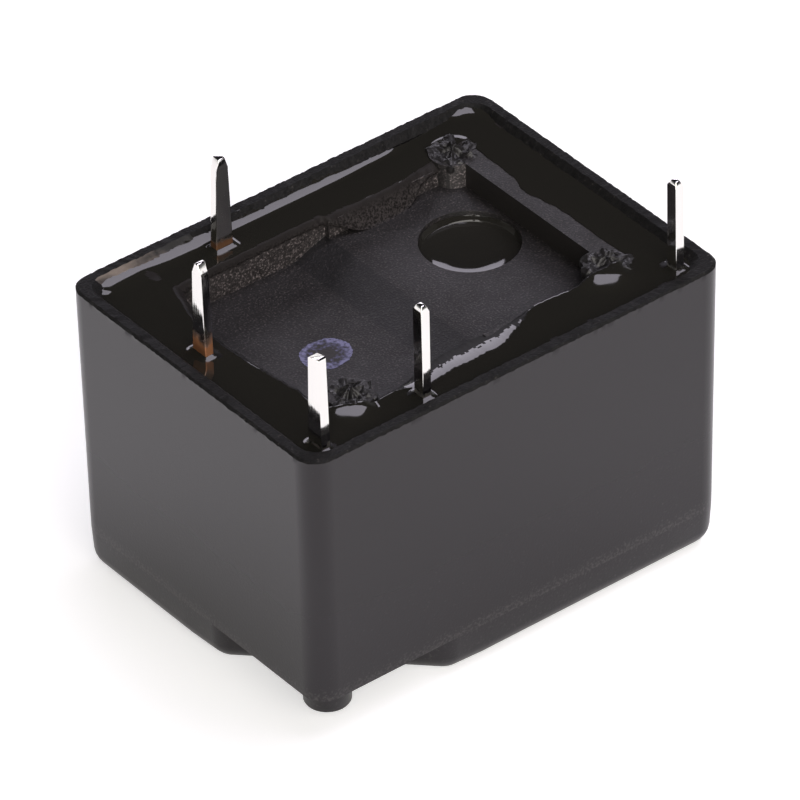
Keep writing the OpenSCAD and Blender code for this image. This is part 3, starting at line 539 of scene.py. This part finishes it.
back = [(-6.6, 5.1, -0.7, 0.4, 0), (-5.6, 5.24, -0.66, 0.25, 0), (-4.1, 5.25, -0.66, 0.22, 0),
        (-2.0, 5.25, -0.66, 0.22, 0), (-0.6, 5.25, -0.66, 0.22, 0), (0.4, 5.2, -0.68, 0.25, 0),
        (0.7, 4.98, -0.7, 0.3, 0.1), (1.15, 4.84, -0.95, 0.46, 0.4), (1.8, 4.6, -1.3, 0.62, 0.8),
        (2.5, 4.5, -1.393, 0.68, 1), (3.3, 4.48, -1.393, 0.68, 1), (4.1, 4.55, -1.393, 0.6, 1),
        (4.8, 4.75, -1.15, 0.5, 0.6), (5.3, 4.95, -0.8, 0.45, 0.2), (5.8, 5.0, -0.66, 0.45, 0),
        (6.4, 5.02, -0.6, 0.4, 0), (7.95, 5.25, -0.3, 0.5, 1)]
left = [(-7.3, -4.5, -0.8, 0.4, 0), (-7.1, -3.2, -0.75, 0.3, 0), (-7.3, -1.6, -0.66, 0.25, 0),
        (-7.45, -0.1, -0.66, 0.25, 0), (-7.5, 1.7, -0.66, 0.25, 0), (-7.3, 3.2, -0.7, 0.3, 0),
        (-6.6, 5.1, -0.7, 0.4, 0)]
# How it creeps up the back wall: x, rise, reach.
back_creep = [(-9.9, 0.08, 0.8), (-9.2, 0.29, 1.12), (-5.8, 0.31, 1.1), (-4.8, 0.36, 0.85),
              (-1.5, 0.37, 0.72), (2.5, 0.36, 0.72), (4.4, 0.3, 0.7), (5.4, 0.2, 0.7),
              (6.2, 0.05, 0.7), (8.2, 0.05, 0.7), (8.9, 0.33, 0.8), (9.9, 0.36, 0.8)]


def along_edge(points, key, at):
    """The point of a smooth line through set points whose x (key 0) or y (key 1) is at, in mm."""
    i = next((k for k, p in enumerate(points) if p[key] >= at and k), len(points) - 1)
    a, b = Vector(points[i - 1]), Vector(points[i])
    before, after = Vector(points[max(i - 2, 0)]), Vector(points[min(i + 1, len(points) - 1)])
    t = max(0.0, min(1.0, (at - a[key]) / (b[key] - a[key])))
    point = (2 * t ** 3 - 3 * t ** 2 + 1) * a + (t ** 3 - 2 * t ** 2 + t) * (b - before) / 2
    point += (3 * t ** 2 - 2 * t ** 3) * b + (t ** 3 - t ** 2) * (after - a) / 2
    return point


def edge_of_pour(x, y):
    """Where the resin that starts at this point of the wall ends on the base, in mm."""
    full_l, full_w = cavity_l / mm, cavity_w / mm
    on_long_wall = full_w - abs(y) < full_l - abs(x)
    if on_long_wall:
        side, key, share = (front if y < 0 else back), 0, x / full_l
    else:
        side, key, share = (left if x < 0 else right), 1, y / full_w
    low, high = side[0][key], side[-1][key]
    return along_edge(side, key, low + (high - low) * max(0, min(1, (share + 1) / 2)))


wetted = []
for node in ("com_terminal", "nc_terminal", "no_terminal", "coil_pin_1", "coil_pin_2"):
    cut = [v.co.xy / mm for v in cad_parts[node].data.vertices if v.co.z > rim - 1.5 * mm]
    wetted.append([f(c[k] for c in cut) for k in (0, 1) for f in (min, max)])


def hump(x, y, boss):
    """The resin's slope up to the foot of a front boss, on the side of the case's corner."""
    gap_x, gap_y = boss[0] - x, boss[1] - y
    ahead, aside = 0.61 * gap_x + 0.79 * gap_y, 0.79 * gap_x - 0.61 * gap_y
    if ahead <= 0:
        return 0
    climb = max(0, min(1, (1.95 - ahead) / 1.05))
    across = 0.55 + 0.5 * min(1, ahead / 0.9)
    return 0.27 * climb ** 1.2 * math.exp(-((aside - 0.2 * min(1, ahead)) / across) ** 4)


def drawn_up(gap, reach, height):
    """How far the resin climbs at a distance from what it wets, in mm."""
    return height * max(0, 1 - gap / reach) ** 2


def pour_height(x, y, edge_gap, end):
    """The resin's surface below the rim: level, drawn up at what it wets, running out at its edge."""
    round_in = 0.9
    highest = 0.4
    past_l, past_w = abs(x) - (cavity_l + chamfer) / mm, abs(y) - (cavity_w + chamfer) / mm
    wall_gap = round_in - math.hypot(max(past_l + round_in, 0), max(past_w + round_in, 0))
    wall_gap -= min(max(past_l, past_w) + round_in, 0)
    corner = max(0, min(1, (y - 5.2) / 1.6))
    if past_w > past_l:
        creep, wide = along_edge(back_creep, 0, x)[1:] if y > 0 else (0.03, 0.7)
    else:
        creep, wide = 0.05 + 0.31 * corner if x > 0 else 0.04 + 0.04 * corner, 0.7 + 0.1 * corner
    rise = drawn_up(max(wall_gap, -0.05), wide, creep * (1 + 0.12 * noise.noise((x / 1.6, y / 1.6, 7))))
    for lo_x, hi_x, lo_y, hi_y in wetted:
        foot = drawn_up(math.hypot(max(lo_x - x, x - hi_x, 0), max(lo_y - y, y - hi_y, 0)), 0.3, 0.13)
        rise += foot * max(0, 1 - rise / highest)
    rise += hump(x, y, right_peg) + hump(x, y, left_peg)
    rise += drawn_up(max(math.hypot(x - back_peg[0], y - back_peg[1]) - 0.95, 0), 0.3, 0.04)
    brim = max(0, min(1, (x - 5.5) / 2.5))
    z = (level - rim) / mm + 0.13 * brim ** 2 * (3 - 2 * brim) * (1 - rise / highest) + min(rise, highest)
    z += 0.025 * noise.noise((x / 2.6, y / 2.6, 0)) + 0.003 * noise.noise((x / 0.7, y / 0.7, 3))
    fall = max(0, 1 - edge_gap / end[3])
    blend = fall ** 2 * (1 + end[4] * (2 - 2 * fall))
    return z + (end[2] - z) * blend


pour = bmesh.new()
start = pour.verts.layers.float_vector.new("start")
quad = bmesh.ops.create_grid(pour, x_segments=1, y_segments=1, size=1)["verts"]
under_rim = chamfer + 0.03 * mm
bmesh.ops.scale(pour, verts=quad, vec=(cavity_l + under_rim, cavity_w + under_rim, 1))
bmesh.ops.bevel(pour, geom=quad, offset=0.6 * mm, segments=8, profile=0.5, affect="VERTICES", material=-1)
split_edges(pour, 0.075 * mm)
bmesh.ops.delete(pour, geom=list(pour.faces), context="FACES_ONLY")
for v in pour.verts:
    v[start] = v.co / mm
rows = 34
tuck_under = ((0.03, 0.12), (0.35, 0.3))
bottom = -1.25
loops = [list(pour.edges)]
for row in range(rows + len(tuck_under) + 1):
    for v in {v for e in loops[-1] for v in e.verts}:
        wall = Vector(v[start])
        end = edge_of_pour(wall.x, wall.y)
        way = Vector((end[0] - wall.x, end[1] - wall.y, 0))
        reach = way.length
        way /= reach
        ragged = 0.035 * noise.noise(wall * 5) + 0.02 * noise.noise(wall * 11)
        reach += 0.05 * noise.noise(wall * 1.6) + ragged * (1 - end[4])
        t = min(row / (rows - 1), 1)
        t -= 0.07 * math.sin(2 * math.pi * t)
        at = wall + way * reach * t
        if row < rows:
            at.z = pour_height(at.x, at.y, reach * (1 - t), end)
        elif row < rows + len(tuck_under):
            inwards, down = tuck_under[row - rows]
            at -= way * inwards
            at.z = end[2] - down * (1 - 0.7 * end[4])
        else:
            at -= way * reach
            at.z = bottom
        v.co = at * mm + Vector((0, 0, rim))
    if row < rows + len(tuck_under):
        loops.append(next_loop(pour, loops[-1]))
bmesh.ops.bridge_loops(pour, edges=loops[0] + loops[-1])
bmesh.ops.recalc_face_normals(pour, faces=pour.faces)

resin, resin_shader, resin_place = new_material("epoxy resin", (0.0155, 0.0147, 0.012), 0.045, 0.0, 1.55)
bump(resin, resin_shader, speckle(resin, resin_place, 1.4 * mm, 1.0), 0.03 * mm, 0.2)
thin, thin_shader, thin_place = new_material("thinned resin", (0.0155, 0.0147, 0.012), 0.4)
thin_shader.inputs["Specular IOR Level"].default_value = 0.06
thin_at = along(thin, thin_place)
toe = spread(thin, thin_at["Z"], rim - 0.5 * mm, rim - 0.95 * mm)
behind = spread(thin, thin_at["Y"], 3.0 * mm, 4.0 * mm, 0.44, 0.6)
swing = scaled_sum(thin, speckle(thin, thin_place, 0.085 * mm, 3.0), 1, -0.46)
ramp(thin, scaled_sum(thin, swing, toe, behind),
     [(0.36, (0.006, 0.0054, 0.0052)), (0.56, (0.0125, 0.0112, 0.0108)), (0.74, (0.042, 0.037, 0.036))],
     thin_shader.inputs["Base Color"])
# Where it turns down to the base, or has sunk to a film, it is thin and dull.
for f in pour.faces:
    centre = f.calc_center_median() / mm
    turns_down_back = 3.5 < centre.y < 5.7 and f.normal.y < -0.05
    turns_down_left = -8.6 < centre.x < -6.3 and f.normal.x > 0.02
    beside_streak = centre.x > -5.7 and abs(centre.x + 0.9) > 3.1
    turns_down_front = centre.y < -4 and beside_streak and f.normal.y > 0.03
    calm = centre.y > 3.5 or abs(centre.x + 2.6) > 4.4
    sunk = centre.z - rim / mm + (0.02 if calm else 0.06) * noise.noise(centre * 7)
    thinned = sunk < (-0.455 if calm else -0.515)
    f.material_index = int(turns_down_back or turns_down_left or turns_down_front or thinned)
piece(pour, "poured_resin", resin, ["sealing_resin"], crease=60).data.materials.append(thin)

# Plug resin. A drop of the same epoxy that seals the round well in the base and has sunk
# into a dish.
well_lo, well_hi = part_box("plug_resin")
well = (well_lo + well_hi) / 2
well_r = (well_hi.x - well_lo.x) / 2
# The dish from its edge to its middle: share of the radius, drop in mm.
slope = [(1, -0.1), (0.985, -0.02), (0.97, 0.07), (0.957, 0.15), (0.95, 0.172), (0.94, 0.179),
         (0.91, 0.188), (0.85, 0.212), (0.78, 0.24), (0.7, 0.265), (0.6, 0.29), (0.48, 0.308),
         (0.34, 0.32), (0.18, 0.325), (0, 0.325)]
profile = [(0, well_lo.z), (well_r, well_lo.z)]
profile += [(well_r * share, well_hi.z - drop * mm) for share, drop in slope]
dish = bmesh.new()
rail = [dish.verts.new((well.x + r, well.y, z)) for r, z in profile]
spine = [dish.edges.new(pair) for pair in zip(rail, rail[1:])]
bmesh.ops.spin(dish, geom=rail + spine, cent=(well.x, well.y, 0), axis=(0, 0, 1), angle=2 * math.pi,
               steps=96, use_merge=True)
bmesh.ops.remove_doubles(dish, verts=dish.verts, dist=0.001 * mm)
for v in dish.verts:
    if v.co.z > well_lo.z + 0.3 * mm:
        share = Vector((v.co.x - well.x, v.co.y - well.y)).length / well_r
        wave = 0.01 * noise.noise(v.co / (1.3 * mm)) + 0.03 * share ** 20 * noise.noise(v.co / (0.6 * mm))
        v.co.z += wave * mm
bmesh.ops.recalc_face_normals(dish, faces=dish.faces)
pool, pool_shader, pool_place = new_material("resin in the well", (0.018, 0.017, 0.0145), 0.045, 0.0, 1.55)
bump(pool, pool_shader, speckle(pool, pool_place, 1.4 * mm, 1.0), 0.03 * mm, 0.2)
piece(dish, "well_dish", pool, ["plug_resin"], crease=60)

# Ink mark. A plain inspector's dot of blue-violet ink dabbed on the pan's floor, worn thin
# in the middle and ragged at its edge.
dot_centre = Vector((-3.75 * mm, -0.27 * mm, pan_floor))
dot_r = 0.98 * mm
dot_sink, dot_thickness = 0.01 * mm, 0.022 * mm
ink, ink_shader, ink_place = new_material("ink", (0.13, 0.13, 0.34), 0.6)
inwards = ink.node_tree.nodes.new("ShaderNodeVectorMath")
inwards.operation = "DISTANCE"
inwards.inputs[1].default_value = dot_centre
ink.node_tree.links.new(ink_place, inwards.inputs[0])
worn = scaled_sum(ink, speckle(ink, ink_place, 0.2 * mm, 4.0), 1.9 * dot_r, inwards.outputs["Value"])
ramp(ink, spread(ink, worn, 0.0, 2.4 * dot_r),
     [(0.6, (0.02, 0.0175, 0.018)), (0.7, (0.06, 0.059, 0.11)), (0.84, (0.18, 0.18, 0.31))],
     ink_shader.inputs["Base Color"])
bump(ink, ink_shader, speckle(ink, ink_place, 0.15 * mm, 3.0), 0.03 * mm, 0.8)
stamp = bmesh.new()
for v in bmesh.ops.create_circle(stamp, cap_ends=True, segments=90, radius=1)["verts"]:
    turn = math.atan2(v.co.y, v.co.x)
    ragged = 0.1 * noise.noise((2 * math.cos(turn), 2 * math.sin(turn), 8)) + 0.05 * noise.noise(v.co * 9)
    reach = dot_r * (1 + ragged)
    v.co = dot_centre + Vector((1.12 * reach * math.cos(turn), 0.95 * reach * math.sin(turn), -dot_sink))
grown = bmesh.ops.extrude_face_region(stamp, geom=stamp.faces[:])["geom"]
bmesh.ops.translate(stamp, verts=only(grown, bmesh.types.BMVert), vec=(0, 0, dot_thickness))
bmesh.ops.triangulate(stamp, faces=stamp.faces[:])
bmesh.ops.recalc_face_normals(stamp, faces=stamp.faces)
piece(stamp, "ink_dot", ink)

# Studio. A plain table that is white to the camera and, less so near the foot of the case, to what mirrors
# it, a painted shadow there; a pale horizon that dims overhead; an overhead softbox, a low one
# behind and a wide fill on the left.
floor = bmesh.new()
floor_place = Matrix.Translation((0, 0, -0.02 * mm))
bmesh.ops.create_grid(floor, x_segments=1, y_segments=1, size=2, matrix=floor_place)
floor_mesh = bpy.data.meshes.new("floor")
floor.to_mesh(floor_mesh)
floor.free()
ground = bpy.data.objects.new("floor", floor_mesh)
bpy.context.scene.collection.objects.link(ground)
white, white_shader, white_place = new_material("white table", (0.8, 0.8, 0.8), 0.9)
white_shader.inputs["Specular IOR Level"].default_value = 0
white_shader.inputs["Emission Color"].default_value = (1, 1, 1, 1)
table = white.node_tree
away = table.nodes.new("ShaderNodeVectorMath")
away.operation = "LENGTH"
table.links.new(white_place, away.inputs[0])
# A painted shadow: what mirrors the table sees its glow dimmed within about 8 to 20 mm of the middle.
painted_foot_shadow = spread(white, away.outputs["Value"], 8 * mm, 20 * mm, 0.35, 1.0)
seen = table.nodes.new("ShaderNodeLightPath").outputs
sight = seen["Is Camera Ray"]
for ray in (scaled_sum(white, seen["Is Glossy Ray"], painted_foot_shadow, 0), seen["Is Transmission Ray"]):
    either = table.nodes.new("ShaderNodeMath")
    either.operation = "MAXIMUM"
    table.links.new(sight, either.inputs[0])
    table.links.new(ray, either.inputs[1])
    sight = either.outputs["Value"]
table.links.new(scaled_sum(white, sight, 0.5, 0), white_shader.inputs["Emission Strength"])
floor_mesh.materials.append(white)
world = bpy.data.worlds.new("studio")
bpy.context.scene.world = world
world.use_nodes = True
sky = world.node_tree
direction = sky.nodes.new("ShaderNodeTexCoord")
upward = sky.nodes.new("ShaderNodeSeparateXYZ")
sky.links.new(direction.outputs["Generated"], upward.inputs["Vector"])
horizon = sky.nodes.new("ShaderNodeValToRGB")
horizon.color_ramp.elements[0].position = 0.03
horizon.color_ramp.elements[0].color = (1, 1, 1, 1)
horizon.color_ramp.elements[1].position = 0.45
horizon.color_ramp.elements[1].color = (0.015, 0.015, 0.016, 1)
horizon.color_ramp.elements.new(0.12).color = (0.2, 0.2, 0.2, 1)
sky.links.new(upward.outputs["Z"], horizon.inputs["Fac"])
sky.links.new(horizon.outputs["Color"], sky.nodes["Background"].inputs["Color"])
middle = Vector((0, 0, rim))


def softbox(name, way, distance, size, radiance, colour):
    """A rectangular studio light of that brightness, turned to the middle of the rim."""
    lamp = bpy.data.lights.new(name, "AREA")
    lamp.shape = "RECTANGLE"
    lamp.size, lamp.size_y = size
    lamp.energy = radiance * size[0] * size[1] * math.pi
    lamp.color = colour
    stand = bpy.data.objects.new(name, lamp)
    bpy.context.scene.collection.objects.link(stand)
    stand.location = middle + Vector(way) * distance
    stand.rotation_euler = (stand.location - middle).to_track_quat("Z", "Y").to_euler()


softbox("overhead", (0.3, -0.12, 0.945), 0.5, (0.42, 0.28), 3.7, (0.92, 0.87, 1.0))
softbox("low back", (0.49, 0.8, 0.35), 0.6, (0.34, 0.2), 2.8, (0.92, 0.87, 1.0))
softbox("fill", (-0.45, -0.85, 0.45), 0.6, (0.8, 0.7), 3.4, (1.0, 0.955, 0.91))

# Camera. A long lens that stands off over the front left corner and looks down at the
# terminals, rolled a touch, as in the photograph.
azimuth, elevation, roll = math.radians(-37.7092), math.radians(37.0143), math.radians(-1.3312)
stand_off = 379.2 * mm
shift_right, shift_up = 0.159 * mm, -4.969 * mm
backwards = Vector((math.sin(azimuth) * math.cos(elevation), -math.cos(azimuth) * math.cos(elevation),
                    math.sin(elevation)))
level_right = Vector((math.cos(azimuth), math.sin(azimuth), 0))
level_up = backwards.cross(level_right)
sideways = math.cos(roll) * level_right + math.sin(roll) * level_up
upwards = math.cos(roll) * level_up - math.sin(roll) * level_right
lens = bpy.data.cameras.new("camera")
lens.sensor_width = 36
lens.lens = 435.27
lens.clip_start = 0.01
camera = bpy.data.objects.new("camera", lens)
bpy.context.scene.collection.objects.link(camera)
turned = Matrix((sideways, upwards, backwards)).transposed().to_4x4()
spot = middle + sideways * shift_right + upwards * shift_up + backwards * stand_off
camera.matrix_world = Matrix.Translation(spot) @ turned
bpy.context.scene.camera = camera
bpy.context.scene.view_settings.view_transform = "Standard"
